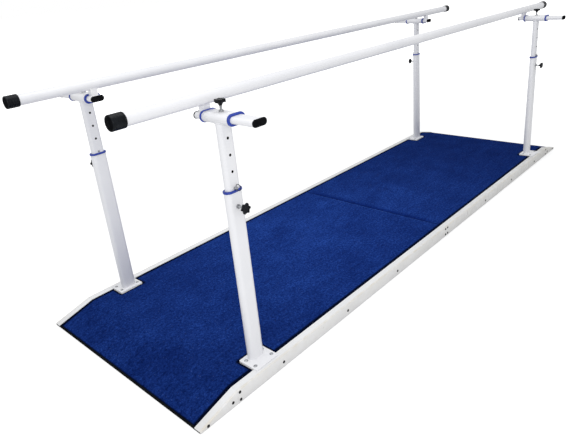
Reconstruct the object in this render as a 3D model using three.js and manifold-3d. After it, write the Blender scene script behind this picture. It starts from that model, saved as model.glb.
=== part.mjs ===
// Walking parallel bars for gait training: a carpeted platform with a ramp at each end,
// four telescopic posts, and two round hand bars that slide in and out on flat-oval arms.
// Millimetres. X runs along the bars, +Y is the left bar's side, +Z is up.
// The origin is on the floor under the middle of the platform.

import * as THREE from "three";
import { mergeVertices, toCreasedNormals } from "three/addons/utils/BufferGeometryUtils.js";
import Module from "manifold-3d";

const wasm = await Module();
wasm.setup();

// Platform
const platformLength = 3000;
const platformWidth = 920;
const platformHeight = 48;
const rampRun = 152;
const noseHeight = 8;
const railFlangeWidth = 30;
const railThickness = 3;
const boardThickness = 15;
const battenWidth = 40;
const battenShares = [0.29, 0.523, 0.761];
const carpetThickness = 4;
const carpetCrown = 2.3;
const carpetMargin = 2;
const nosingDepth = 6;
const jointPlateReach = 30;
const jointPlateThickness = 3;
const jointPlateInset = 4;
const railHoleDiameter = 7;
const splicePitch = 20;
const jointHoleInset = 9;
const cheekHoleInset = 22;
const noseHoleInset = 30;
const railHoleInset = 10;
const battenHoleShare = 0.8;
const cheekHoleShare = 0.4;

// Posts
const postInset = 300;
const postEdgeInset = 71;
const postWidth = 60;
const postDepth = 30;
const tubeWall = 1.5;
const postTop = 641;
const plateLength = 100;
const plateWidth = 84;
const plateThickness = 3;
const plateShift = 15;
const plateBoltPitchX = 74;
const plateBoltPitchY = 44;
const plateBoltDiameter = 13;
const plateBoltHeight = 3;
const plateBoltShares = [[0.8, 0.75]];
const weldLeg = 3;

// Uprights that slide in the posts
const uprightFoot = 430;
const holePitch = 50;
const holeMargin = 25;
const pinDiameter = 8;
const sleeveLength = 110;
const sleeveWidth = 60;
const sleeveHeight = 30;

// Plastic collars on the posts, and bushings in the sleeves
const flangeOverhang = 2.5;
const flangeRounding = 1.5;
const skirtLength = 30;
const collarHeight = 7;
const collarEndWall = 2.9;
const collarFlatWall = 0.9;
const bushingFlange = 6;
const bushingWall = 2.9;

// Arms and hand bars
const barHeight = 912;
const barDiameter = 38;
const barWall = 2;
const armLength = 238;
const armReach = 25;
const armPlugFlange = 4;
const armPlugLip = 1;
const armPlugLength = 22;
const saddleLength = 26;
const saddleInner = 16;
const saddleOuter = 5.4;
const saddleRise = 20;
const saddleWrap = 5;
const capWall = 2.3;
const capLength = 40;
const capEnd = 3;
const capRibs = 4;
const capRibDepth = 0.8;

// Star knobs
const knobDiameter = 35;
const knobLobes = 6;
const knobLobeDepth = 4.5;
const knobHeight = 18;
const knobHubHeight = 8;
const knobHubDiameter = 22;
const knobHubNeck = 11;
const knobRounding = 2.5;
const studDiameter = 8;
const bossFlats = 13;
const bossHeight = 5;
const heightKnobDrop = 45;
const heightKnobStandoff = 21;
const widthKnobStandoff = 18;

// Ring pins
const pinTip = 3;
const pinHeadDiameter = 10;
const pinHeadLength = 10;
const ringDiameter = 22;
const ringWire = 2.4;
const ringTilt = 27;

// Gaps, and the overrun of every cut
const gap = 0.3;
const overrun = 5;

// Facets
const ovalSegments = 3;
const holeSegments = 8;
const screwHoleSegments = 6;
const roundSegments = 16;
const ringSegments = 12;
const wireSegments = 5;
const lobeSegments = 4;
const hexSides = 6;

// Sizes worked out from the ones above
const halfLength = platformLength / 2;
const halfWidth = platformWidth / 2;
const kneeX = halfLength - rampRun;
const carpetTop = platformHeight - railThickness - gap;
const carpetUnder = carpetTop - carpetThickness;
const boardTop = carpetUnder - gap;
const boardUnder = boardTop - boardThickness;
const rampFall = platformHeight - noseHeight;
const webInner = halfWidth - railThickness;
const jointPlateInner = webInner - gap - jointPlateThickness;
const postX = halfLength - postInset;
const postOffset = halfWidth - postEdgeInset;
const plateUnder = platformHeight + gap;
const plateTop = plateUnder + plateThickness;
const plateInnerEdge = postOffset + plateShift - plateWidth / 2;
const collarTop = postTop + gap + collarHeight;
const uprightWidth = postWidth - 2 * (tubeWall + gap + collarEndWall + gap);
const uprightDepth = postDepth - 2 * (tubeWall + gap + collarFlatWall + gap);
const pinZ = collarTop + gap + pinHeadDiameter / 2;
const pinClearance = pinDiameter + gap + gap;
const studClearance = studDiameter + gap + gap;
const heightKnobZ = postTop - heightKnobDrop;
const armWidth = sleeveWidth - 2 * (tubeWall + gap + bushingWall + gap);
const armHeight = sleeveHeight - 2 * (tubeWall + gap + bushingWall + gap);
const barRadius = barDiameter / 2;
const barOffset = sleeveLength / 2 + gap + bushingFlange + gap + saddleOuter;
const barY = postOffset - barOffset;
const armZ = barHeight - barRadius - saddleRise - armHeight / 2;
const capRadius = barRadius + gap + capWall;

// Finishes
const finishes = {
  paint: { color: 0xf1f2f4, roughness: 0.32, metalness: 0.05 },
  steel: { color: 0xb9bcc2, roughness: 0.25, metalness: 0.9 },
  bluePlastic: { color: 0x2b4bb8, roughness: 0.4, metalness: 0 },
  blackPlastic: { color: 0x121316, roughness: 0.45, metalness: 0 },
  rubber: { color: 0x15161a, roughness: 0.8, metalness: 0 },
  carpet: { color: 0x142f7c, roughness: 1, metalness: 0 },
  wood: { color: 0xb28a5a, roughness: 0.75, metalness: 0 },
};

// Solids and meshes

function toSolid(geometry) {
  const bare = geometry.clone();
  bare.deleteAttribute("normal");
  bare.deleteAttribute("uv");
  const merged = mergeVertices(bare);
  const corners = [];
  const index = merged.index.array;
  for (let i = 0; i < index.length; i += 3) {
    const [a, b, c] = [index[i], index[i + 1], index[i + 2]];
    if (a !== b && b !== c && c !== a) corners.push(a, b, c);
  }
  return new wasm.Manifold(new wasm.Mesh({
    numProp: 3,
    vertProperties: new Float32Array(merged.attributes.position.array),
    triVerts: new Uint32Array(corners),
  }));
}

function ordered(a, b) {
  return a < b ? [a, b] : [b, a];
}

function join(solids) {
  return solids.reduce((whole, piece) => whole.add(piece));
}

function cut(solid, tools) {
  return tools.reduce((rest, tool) => rest.subtract(tool), solid);
}

function addMesh(parent, name, solid, finish) {
  const { vertProperties, triVerts } = solid.getMesh();
  const geometry = new THREE.BufferGeometry();
  geometry.setAttribute("position", new THREE.BufferAttribute(vertProperties, 3));
  geometry.setIndex(new THREE.BufferAttribute(triVerts, 1));
  const material = new THREE.MeshStandardMaterial(finishes[finish]);
  const mesh = new THREE.Mesh(toCreasedNormals(geometry), material);
  mesh.name = name;
  parent.add(mesh);
}

// Outlines and primitive solids

const alongX = new THREE.Matrix4().makeBasis(
  new THREE.Vector3(0, 1, 0),
  new THREE.Vector3(0, 0, 1),
  new THREE.Vector3(1, 0, 0),
);

function ovalOutline(width, height) {
  const radius = height / 2;
  const centre = (width - height) / 2;
  const outline = new THREE.Shape();
  outline.absarc(centre, 0, radius, -Math.PI / 2, Math.PI / 2, false);
  outline.absarc(-centre, 0, radius, Math.PI / 2, 1.5 * Math.PI, false);
  return outline;
}

function polygonOutline(points) {
  return new THREE.Shape(points.map(([x, y]) => new THREE.Vector2(x, y)));
}

// Extrudes an outline from one coordinate to another along an axis. The outline's own axes
// become X and Y for an extrusion along Z, X and Z along Y, and Y and Z along X.
function extrude(outline, axis, from, to, rounding = 0) {
  const geometry = new THREE.ExtrudeGeometry(outline, {
    depth: to - from - rounding - rounding,
    bevelEnabled: rounding > 0,
    bevelThickness: rounding,
    bevelSize: rounding,
    bevelOffset: -rounding,
    bevelSegments: 1,
    curveSegments: ovalSegments,
  });
  if (axis === "z") geometry.translate(0, 0, from + rounding);
  if (axis === "y") geometry.rotateX(Math.PI / 2).translate(0, to - rounding, 0);
  if (axis === "x") geometry.applyMatrix4(alongX).translate(from + rounding, 0, 0);
  return toSolid(geometry);
}

function oval(width, height, axis, from, to, centre = [0, 0], rounding = 0) {
  const solid = extrude(ovalOutline(width, height), axis, from, to, rounding);
  return solid.translate(axis === "z" ? [centre[0], centre[1], 0] : [centre[0], 0, centre[1]]);
}

function box(x, y, z) {
  const geometry = new THREE.BoxGeometry(x[1] - x[0], y[1] - y[0], z[1] - z[0]);
  geometry.translate((x[0] + x[1]) / 2, (y[0] + y[1]) / 2, (z[0] + z[1]) / 2);
  return toSolid(geometry);
}

function turnTo(geometry, axis) {
  if (axis === "x") geometry.rotateZ(-Math.PI / 2);
  if (axis === "z") geometry.rotateX(Math.PI / 2);
  return geometry;
}

// A rod between two coordinates along an axis, through a point given by its other two coordinates.
function rod(diameter, axis, from, to, through, segments = holeSegments) {
  const geometry = turnTo(new THREE.CylinderGeometry(diameter / 2, diameter / 2, to - from, segments), axis);
  const middle = (from + to) / 2;
  if (axis === "x") geometry.translate(middle, through[0], through[1]);
  if (axis === "y") geometry.translate(through[0], middle, through[1]);
  if (axis === "z") geometry.translate(through[0], through[1], middle);
  return toSolid(geometry);
}

// A turned solid from [radius, height] pairs, its foot at the given place on the axis.
function turned(profile, axis, place, segments = roundSegments) {
  const points = profile.map(([radius, height]) => new THREE.Vector2(radius, height));
  const geometry = turnTo(new THREE.LatheGeometry(points, segments), axis);
  return toSolid(geometry.translate(...place));
}

// Platform

function rampTop(x) {
  return platformHeight - rampFall * Math.max(0, (x - kneeX) / rampRun);
}

function deck() {
  const sunk = platformHeight - boardTop;
  const noseX = halfLength - nosingDepth - gap;
  const noseTop = rampTop(noseX) - sunk;
  const outline = [[gap / 2, 0], [gap / 2, boardTop], [kneeX, boardTop], [noseX, noseTop], [noseX, 0]];
  const bays = [0, ...battenShares.map((share) => share * halfLength), kneeX - battenWidth / 2];
  for (let i = bays.length - 1; i > 0; i--) {
    const high = bays[i] - battenWidth / 2;
    const low = bays[i - 1] + (i > 1 ? battenWidth / 2 : battenWidth);
    outline.push([high, 0], [high, boardUnder], [low, boardUnder], [low, 0]);
  }
  const slab = extrude(polygonOutline(outline), "y", -webInner + gap, webInner - gap);
  const pockets = [];
  for (const side of [-1, 1]) {
    const edge = ordered(side * (jointPlateInner - gap), side * halfWidth);
    const height = [-overrun, platformHeight];
    pockets.push(box([0, jointPlateReach + gap], edge, height));
    pockets.push(box([kneeX - jointPlateReach - gap, kneeX + jointPlateReach + gap], edge, height));
  }
  return cut(slab, pockets);
}

// The carpet's margins lie under the rails' flanges. Between the flanges its pile stands higher
// by the crown, which runs out towards the nosing.
function carpet() {
  const sunk = platformHeight - carpetTop;
  const noseX = halfLength - nosingDepth - gap;
  const top = rampTop(noseX) - sunk;
  const outline = (crown) => polygonOutline([
    [gap / 2, carpetUnder], [gap / 2, carpetTop + crown], [kneeX, carpetTop + crown],
    [noseX, top], [noseX, top - carpetThickness], [kneeX, carpetUnder],
  ].reverse());
  const reach = jointPlateInner - gap;
  const crownReach = halfWidth - railFlangeWidth - carpetMargin;
  const cover = join([
    extrude(outline(0), "y", -reach, reach),
    extrude(outline(carpetCrown), "y", -crownReach, crownReach),
  ]);
  const along = [postX - plateLength / 2 - gap, postX + plateLength / 2 + gap];
  const notches = [-1, 1].map((side) => {
    const across = ordered(side * (plateInnerEdge - gap), side * (halfWidth - railFlangeWidth));
    return box(along, across, [0, platformHeight]);
  });
  return cut(cover, notches);
}

function nosing() {
  const back = halfLength - nosingDepth;
  const sunk = railThickness + gap;
  const outline = polygonOutline([
    [back, 0], [halfLength, 0], [halfLength, noseHeight - sunk], [back, rampTop(back) - sunk],
  ]);
  return extrude(outline, "y", -webInner + gap, webInner - gap);
}

function railHole(x, z) {
  const reach = [jointPlateInner - overrun, halfWidth + overrun];
  return rod(railHoleDiameter, "y", ...reach, [x, z], screwHoleSegments);
}

// A side rail along the far half, or the near half when end is -1. One rail of each pair
// carries the splice plate that reaches behind its neighbour.
function rail(end, hasSplice) {
  const from = gap / 2;
  const to = kneeX - gap / 2;
  const span = ordered(end * from, end * to);
  const section = polygonOutline([
    [halfWidth, 0], [halfWidth, platformHeight], [halfWidth - railFlangeWidth, platformHeight],
    [halfWidth - railFlangeWidth, platformHeight - railThickness],
    [webInner, platformHeight - railThickness], [webInner, 0],
  ]);
  const pieces = [extrude(section, "x", ...span)];
  const plateHeight = [jointPlateInset, platformHeight - railThickness - jointPlateInset];
  if (hasSplice) {
    const whole = [-jointPlateReach, jointPlateReach];
    const own = ordered(end * from, end * jointPlateReach);
    pieces.push(box(whole, [jointPlateInner, webInner - gap], plateHeight));
    pieces.push(box(own, [jointPlateInner, webInner + railThickness / 2], plateHeight));
  }
  const heights = [railHoleInset, platformHeight - railHoleInset];
  const holes = battenShares.map((share) => railHole(end * share * halfLength, boardUnder * battenHoleShare));
  for (const z of heights) {
    holes.push(railHole(-splicePitch / 2, z), railHole(splicePitch / 2, z));
    holes.push(railHole(end * (kneeX - jointHoleInset), z));
  }
  return cut(join(pieces), holes);
}

// A tapered cheek beside a ramp, with the plate that bolts it behind the rail.
function cheek(end) {
  const from = kneeX + gap / 2;
  const plateStart = kneeX - jointPlateReach;
  const plateEnd = kneeX + jointPlateReach;
  const sunk = railThickness + jointPlateInset;
  const side = [[from, 0], [halfLength, 0], [halfLength, noseHeight], [from, rampTop(from)]];
  const lip = [
    [from, rampTop(from) - railThickness], [halfLength, noseHeight - railThickness],
    [halfLength, noseHeight], [from, rampTop(from)],
  ];
  const plate = [
    [plateStart, jointPlateInset], [plateEnd, jointPlateInset], [plateEnd, rampTop(plateEnd) - sunk],
    [from, rampTop(from) - sunk], [plateStart, rampTop(plateStart) - sunk],
  ];
  const own = plate.map(([x, z]) => [Math.max(x, from), z]).slice(0, -1);
  const outline = (points) => polygonOutline(end > 0 ? points : points.map(([x, z]) => [-x, z]).reverse());
  const body = join([
    extrude(outline(side), "y", webInner, halfWidth),
    extrude(outline(lip), "y", halfWidth - railFlangeWidth, halfWidth),
    extrude(outline(plate), "y", jointPlateInner, webInner - gap),
    extrude(outline(own), "y", jointPlateInner, webInner + railThickness / 2),
  ]);
  const noseX = halfLength - noseHoleInset;
  const holes = [
    railHole(end * (kneeX - jointHoleInset), railHoleInset),
    railHole(end * (kneeX - jointHoleInset), platformHeight - railHoleInset),
    railHole(end * (kneeX + cheekHoleInset), platformHeight * cheekHoleShare),
    railHole(end * noseX, rampTop(noseX) / 2),
  ];
  return cut(body, holes);
}

// Posts, uprights and bushings, in a frame whose origin is under the post's axis
// and whose +Y points outwards

function hexBoss(axis, from, to, through) {
  const acrossCorners = bossFlats / Math.cos(Math.PI / 6);
  return rod(acrossCorners, axis, from, to, through, hexSides);
}

function outerPost() {
  const face = postDepth / 2;
  const plateY = [plateShift - plateWidth / 2, plateShift + plateWidth / 2];
  const packerY = [plateY[0], halfWidth - railFlangeWidth - gap - postOffset];
  const plateX = [-plateLength / 2, plateLength / 2];
  const weld = [postWidth + 2 * weldLeg, postDepth + 2 * weldLeg];
  const bore = [postWidth - 2 * tubeWall, postDepth - 2 * tubeWall];
  const pieces = [
    oval(postWidth, postDepth, "z", plateTop - plateThickness / 2, postTop),
    box(plateX, plateY, [plateUnder, plateTop]),
    box(plateX, packerY, [boardTop + gap, plateUnder + plateThickness / 2]),
    oval(...weld, "z", plateTop - weldLeg, plateTop + weldLeg, [0, 0], weldLeg - gap),
    hexBoss("y", face - tubeWall, face + bossHeight, [0, heightKnobZ]),
  ];
  const boltRadius = plateBoltDiameter / 2;
  const dome = plateBoltShares.map(([wide, high]) => [wide * boltRadius, high * plateBoltHeight]);
  const head = [[0, 0], [boltRadius, 0], ...dome, [0, plateBoltHeight]];
  for (const x of [-plateBoltPitchX / 2, plateBoltPitchX / 2]) {
    for (const y of [plateShift - plateBoltPitchY / 2, plateShift + plateBoltPitchY / 2]) {
      pieces.push(turned(head, "z", [x, y, plateTop - gap], holeSegments));
    }
  }
  const studHole = rod(studClearance, "y", 0, face + bossHeight + overrun, [0, heightKnobZ]);
  return cut(join(pieces), [oval(...bore, "z", plateTop, postTop + overrun), studHole]);
}

// A flanged plastic bushing: its skirt lines the tube and its flange stands against the tube's end,
// which faces along the axis or, when direction is -1, against it.
function bushing(tube, slider, axis, face, direction, flange, centre) {
  const near = face + direction * gap;
  const far = near + direction * flange;
  const foot = face - direction * skirtLength;
  const lining = tube.map((size) => size - 2 * (tubeWall + gap));
  const rim = tube.map((size) => size + 2 * flangeOverhang);
  const passage = slider.map((size) => size + 2 * gap);
  const body = join([
    oval(...rim, axis, ...ordered(near, far), centre, flangeRounding),
    oval(...lining, axis, ...ordered(foot, near + direction * flange / 2), centre),
  ]);
  const reach = ordered(foot - direction * overrun, far + direction * overrun);
  return cut(body, [oval(...passage, axis, ...reach, centre)]);
}

function collar() {
  const upright = [uprightWidth, uprightDepth];
  return bushing([postWidth, postDepth], upright, "z", postTop, 1, collarHeight, [0, 0]);
}

function sleeveBushing(direction) {
  const sleeve = [sleeveWidth, sleeveHeight];
  const face = direction * sleeveLength / 2;
  return bushing(sleeve, [armWidth, armHeight], "y", face, direction, bushingFlange, [0, armZ]);
}

function upright() {
  const sleeveTop = armZ + sleeveHeight / 2;
  const tubeTop = armZ - sleeveHeight / 2;
  const inset = 2 * tubeWall;
  const reach = sleeveLength / 2 + overrun;
  const body = join([
    oval(uprightWidth, uprightDepth, "z", uprightFoot, armZ),
    oval(sleeveWidth, sleeveHeight, "y", -sleeveLength / 2, sleeveLength / 2, [0, armZ]),
    hexBoss("z", sleeveTop - tubeWall, sleeveTop + bossHeight, [0, 0]),
  ]);
  const cuts = [
    oval(uprightWidth - inset, uprightDepth - inset, "z", uprightFoot - overrun, tubeTop),
    oval(sleeveWidth - inset, sleeveHeight - inset, "y", -reach, reach, [0, armZ]),
    rod(studClearance, "z", armZ, sleeveTop + bossHeight + overrun, [0, 0]),
  ];
  const lowest = -Math.floor((pinZ - uprightFoot - holeMargin) / holePitch);
  const highest = Math.floor((tubeTop - pinZ - holeMargin) / holePitch);
  for (let i = lowest; i <= highest; i++) {
    cuts.push(rod(pinClearance, "y", -uprightDepth, uprightDepth, [0, pinZ + i * holePitch]));
  }
  return cut(body, cuts);
}

// Arms and bars

function armEnds() {
  const inner = -barOffset - armReach;
  return [inner, inner + armLength];
}

function arm() {
  const [inner, outer] = armEnds();
  const inset = 2 * tubeWall;
  const armTop = armZ + armHeight / 2;
  const tube = oval(armWidth, armHeight, "y", inner - armPlugFlange / 2, outer, [0, armZ]);
  const bore = oval(armWidth - inset, armHeight - inset, "y", inner + tubeWall, outer + overrun, [0, armZ]);
  const stopper = [armWidth + 2 * armPlugLip, armHeight + 2 * armPlugLip];
  const plug = oval(...stopper, "y", inner - armPlugFlange, inner, [0, armZ], armPlugLip);
  const saddle = box(
    [-saddleLength / 2, saddleLength / 2],
    [-barOffset - saddleInner, -barOffset + saddleOuter],
    [armTop - tubeWall / 2, armTop + saddleRise + saddleWrap],
  );
  const axis = [-barOffset, barHeight];
  const seat = rod(barDiameter + 2 * gap, "x", -saddleLength, saddleLength, axis, roundSegments);
  return join([cut(tube, [bore]), plug, cut(saddle, [seat])]);
}

function armPlug() {
  const outer = armEnds()[1];
  const inset = 2 * (tubeWall + gap);
  const stopper = [armWidth + 2 * armPlugLip, armHeight + 2 * armPlugLip];
  const middle = outer + gap + armPlugFlange / 2;
  return join([
    oval(...stopper, "y", outer + gap, outer + gap + armPlugFlange, [0, armZ], armPlugLip),
    oval(armWidth - inset, armHeight - inset, "y", outer - armPlugLength, middle, [0, armZ]),
  ]);
}

function handBar(side) {
  const end = halfLength - capEnd - gap;
  const place = [side * barY, barHeight];
  const tube = rod(barDiameter, "x", -end, end, place, roundSegments);
  const bore = rod(barDiameter - 2 * barWall, "x", -end - overrun, end + overrun, place, roundSegments);
  return cut(tube, [bore]);
}

// A slip-on end cap with grooves round it, drawn along +X from its mouth.
function barCap() {
  const mouth = capEnd;
  const pitch = (capLength - mouth - flangeRounding) / capRibs;
  const profile = [[0, 0], [capRadius, 0], [capRadius, mouth]];
  for (let i = 0; i < capRibs; i++) {
    profile.push([capRadius - capRibDepth, mouth + (i + 0.5) * pitch]);
    profile.push([capRadius, mouth + (i + 1) * pitch]);
  }
  profile.push([capRadius - flangeRounding, capLength], [0, capLength]);
  const shell = turned(profile, "x", [0, 0, 0]);
  const socket = rod(barDiameter + 2 * gap, "x", -overrun, capLength - capEnd, [0, 0], roundSegments);
  return cut(shell, [socket]);
}

// Star knob with its stud, drawn along +Z from the stud's tip.
function starKnob(studLength) {
  const outline = [];
  const steps = knobLobes * lobeSegments;
  const lobe = knobLobeDepth / 2;
  for (let i = 0; i < steps; i++) {
    const angle = 2 * Math.PI * i / steps;
    const radius = knobDiameter / 2 - lobe + lobe * Math.cos(knobLobes * angle);
    outline.push([radius * Math.cos(angle), radius * Math.sin(angle)]);
  }
  const under = studLength + knobHubHeight;
  const top = studLength + knobHeight;
  const hub = [
    [0, studLength], [knobHubNeck / 2, studLength],
    [knobHubDiameter / 2, under], [knobHubDiameter / 2, under + knobRounding], [0, under + knobRounding],
  ];
  return join([
    extrude(polygonOutline(outline), "z", under, top, knobRounding),
    turned(hub, "z", [0, 0, 0], holeSegments),
    rod(studDiameter, "z", 0, studLength + knobRounding, [0, 0]),
  ]);
}

// Ring pin, in the post's frame: the shank crosses the upright and stands on the collar.
function ringPin() {
  const face = uprightDepth / 2;
  const neck = pinTip + uprightDepth + gap;
  const shaft = [
    [0, 0], [pinDiameter / 4, 0], [pinDiameter / 2, pinTip], [pinDiameter / 2, neck],
    [pinHeadDiameter / 2, neck], [pinHeadDiameter / 2, neck + pinHeadLength], [0, neck + pinHeadLength],
  ];
  const tilt = THREE.MathUtils.degToRad(ringTilt);
  const ringRadius = (ringDiameter - ringWire) / 2;
  const eyeY = face + gap + pinHeadLength - ringWire;
  const ring = new THREE.TorusGeometry(ringRadius, ringWire / 2, wireSegments, ringSegments);
  ring.rotateY(Math.PI / 2);
  ring.translate(0, eyeY + ringRadius * Math.cos(tilt), pinZ + ringRadius * Math.sin(tilt));
  return join([turned(shaft, "y", [0, -face - pinTip, pinZ], holeSegments), toSolid(ring)]);
}

// Assembly

const heightStudTip = uprightDepth / 2 + gap;
const widthStudTip = armHeight / 2 + gap;
const parallelBars = new THREE.Group();
const sides = { left: 1, right: -1 };
const ends = { near: -1, far: 1 };
const shared = {
  deck: deck(),
  carpet: carpet(),
  nosing: nosing(),
  outerPost: outerPost(),
  collar: collar(),
  upright: upright(),
  innerBushing: sleeveBushing(-1),
  outerBushing: sleeveBushing(1),
  arm: arm(),
  armPlug: armPlug(),
  barCap: barCap(),
  heightKnob: starKnob(heightKnobStandoff + postDepth / 2 - heightStudTip),
  widthKnob: starKnob(widthKnobStandoff + sleeveHeight / 2 - widthStudTip),
  ringPin: ringPin(),
};

// A group turned half round for the right side, where outwards is -Y.
function sideGroup(side, x, y) {
  const group = new THREE.Group();
  group.position.set(x, side * y, 0);
  group.rotation.z = side > 0 ? 0 : Math.PI;
  parallelBars.add(group);
  return group;
}

function placed(parent, position, tilt) {
  const group = new THREE.Group();
  group.position.set(...position);
  group.rotation.set(...tilt);
  parent.add(group);
  return group;
}

for (const [endName, end] of Object.entries(ends)) {
  const half = placed(parallelBars, [0, 0, 0], [0, 0, end > 0 ? 0 : Math.PI]);
  addMesh(half, `deck_${endName}`, shared.deck, "wood");
  addMesh(half, `carpet_${endName}`, shared.carpet, "carpet");
  addMesh(half, `nosing_${endName}`, shared.nosing, "rubber");

  for (const [sideName, side] of Object.entries(sides)) {
    const corner = `${endName}_${sideName}`;
    const edge = sideGroup(side, 0, 0);
    addMesh(edge, `rail_${corner}`, rail(end * side, end < 0), "paint");
    addMesh(edge, `ramp_cheek_${corner}`, cheek(end * side), "paint");

    const post = sideGroup(side, end * postX, postOffset);
    addMesh(post, `outer_post_${corner}`, shared.outerPost, "paint");
    addMesh(post, `collar_${corner}`, shared.collar, "bluePlastic");
    addMesh(post, `upright_${corner}`, shared.upright, "paint");
    addMesh(post, `inner_bushing_${corner}`, shared.innerBushing, "bluePlastic");
    addMesh(post, `outer_bushing_${corner}`, shared.outerBushing, "bluePlastic");
    addMesh(post, `arm_${corner}`, shared.arm, "paint");
    addMesh(post, `arm_plug_${corner}`, shared.armPlug, "blackPlastic");
    addMesh(post, `ring_pin_${corner}`, shared.ringPin, "steel");

    const heightKnob = placed(post, [0, heightStudTip, heightKnobZ], [-Math.PI / 2, 0, 0]);
    addMesh(heightKnob, `height_knob_${corner}`, shared.heightKnob, "blackPlastic");
    const widthKnob = placed(post, [0, 0, armZ + widthStudTip], [0, 0, 0]);
    addMesh(widthKnob, `width_knob_${corner}`, shared.widthKnob, "blackPlastic");

    const capPlace = [end * (halfLength - capLength), side * barY, barHeight];
    const cap = placed(parallelBars, capPlace, [0, 0, end > 0 ? 0 : Math.PI]);
    addMesh(cap, `bar_cap_${corner}`, shared.barCap, "blackPlastic");
  }
}

for (const [sideName, side] of Object.entries(sides)) {
  addMesh(parallelBars, `hand_bar_${sideName}`, handBar(side), "paint");
}

export default parallelBars;
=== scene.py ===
"""Looks for the walking parallel bars: fine meshes and procedural materials.

Shapes are written in millimetres and become metres when a mesh is made. The pieces of one post are
drawn in the post's own frame, with its axis at the origin and +Y outwards, and then set at each
corner.
"""

import math

import bmesh
import bpy
from mathutils import Matrix, Vector, noise

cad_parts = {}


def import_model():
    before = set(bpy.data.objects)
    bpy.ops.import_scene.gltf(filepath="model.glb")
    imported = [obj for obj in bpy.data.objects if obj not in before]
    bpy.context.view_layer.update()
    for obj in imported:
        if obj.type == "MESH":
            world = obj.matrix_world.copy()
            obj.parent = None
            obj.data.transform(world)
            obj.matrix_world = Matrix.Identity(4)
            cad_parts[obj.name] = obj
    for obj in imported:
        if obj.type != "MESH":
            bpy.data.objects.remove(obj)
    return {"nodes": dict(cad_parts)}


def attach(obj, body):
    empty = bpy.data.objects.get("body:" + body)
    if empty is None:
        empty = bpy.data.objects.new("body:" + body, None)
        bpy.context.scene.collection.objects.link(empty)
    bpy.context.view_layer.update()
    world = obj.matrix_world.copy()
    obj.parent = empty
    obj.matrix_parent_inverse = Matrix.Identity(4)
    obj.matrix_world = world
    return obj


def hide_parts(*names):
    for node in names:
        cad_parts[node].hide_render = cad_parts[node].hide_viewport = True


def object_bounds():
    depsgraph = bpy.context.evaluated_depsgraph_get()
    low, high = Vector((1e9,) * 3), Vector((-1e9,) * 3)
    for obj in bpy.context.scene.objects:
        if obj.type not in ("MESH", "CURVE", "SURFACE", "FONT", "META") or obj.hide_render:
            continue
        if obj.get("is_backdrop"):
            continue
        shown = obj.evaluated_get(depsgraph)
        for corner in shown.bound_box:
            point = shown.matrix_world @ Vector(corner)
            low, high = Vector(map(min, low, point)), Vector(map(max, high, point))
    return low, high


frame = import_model()
cad_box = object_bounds()

MM = 0.001
GAP = 0.3
CREASE = 38.0
ENDS = {"near": -1, "far": 1}
SIDES = {"left": 1, "right": -1}
CORNERS = [
    (f"{end_name}_{side_name}", end, side, side_name)
    for end_name, end in ENDS.items() for side_name, side in SIDES.items()
]

# Platform
HALF_LENGTH = 1500.0
HALF_WIDTH = 460.0
KNEE_X = 1348.0
RAIL_TOP = 48.0
NOSE_TOP = 8.0
FLANGE = 30.0
SHEET = 3.0
JOINT_GAP = 0.15
DECK_SCREW_Z = 20.3
PLATE_SCREW_LEVELS = (10.0, 38.0)

# Carpets
CARPET_TOP = 44.7
CARPET_UNDER = 40.7
CARPET_END = 1493.9
CARPET_START = 0.05
CARPET_REACH = 453.4
CARPET_CROWN = 2.3
CARPET_DEPTH = 1.6
CARPET_CELL = 13.0
NOTCH_GAP = 2.0

# Flat-oval tubes, each as its width and depth
POST_SIZE = (60, 30)
UPRIGHT_SIZE = (50, 24)
ARM_SIZE = (50, 20)
WALL = 1.5

# Posts and uprights
POST_X = 1200.0
POST_Y = 389.0
POST_TOP = 641.0
PLATE_UNDER = RAIL_TOP + GAP
PLATE_TOP = PLATE_UNDER + 3.0
PLATE_INNER = -27.0
PLATE_OUTER = 57.0
PLATE_HALF = 50.0
BOLT_XS = (-37, 37)
BOLT_YS = (-7, 37)
UPRIGHT_FOOT = 430.0
PIN_Z = 653.6
PIN_FACE = UPRIGHT_SIZE[1] / 2 + GAP
HOLE_RADIUS = 4.3
HOLE_PITCH = 50
HEIGHT_KNOB_Z = 596.0

# Bushings: how far the flange stands out, how thick it is, and how deep the skirt goes
BUSHING_RIM = 2.5
COLLAR_FLANGE = 7.0
SLEEVE_FLANGE = 6.0
BUSHING_SKIRT = 30

# Clamps, with heights measured from the axis of the tube that they press on
NUT_FLATS = 13
NUT_BORE = 4.3
NUT_FOOT = 14.0
NUT_TOP = 20.0
HEIGHT_KNOB_FOOT = 36.0
WIDTH_KNOB_FOOT = 33.0
STUD_IN_KNOB = 2.0
KNOB_RADIUS = 17.5
KNOB_LOBE = 4.5

# Ring pins: the ring's radius, its wire's, and its tilt in degrees
RING_RADIUS = 9.8
RING_WIRE = 1.05
RING_TILT = 27

# Arms and hand bars
ARM_Z = 863.0
SLEEVE_HALF = 55.0
ARM_INNER = -92.0
ARM_OUTER = 146.0
PLUG_FACE = 4
BAR_Y = -67.0
BAR_Z = 912.0
BAR_RADIUS = 19.0
BAR_WALL = 2.0
BAR_END = 1496.7
CAP_MOUTH = 1460.0
CAP_RIBS = 4
CAP_RIB_PITCH = 8.7
SADDLE_HALF = 13
SADDLE_BACK = -83.0
SADDLE_FRONT = 5.4
SADDLE_FOOT = 872.4
SADDLE_TOP = 898.0


# Meshes


def shaded(mesh, crease):
    """Smooth shading, with edges sharper than the crease angle left hard."""
    mesh.shade_smooth()
    mesh.set_sharp_from_angle(angle=math.radians(crease))
    return mesh


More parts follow.
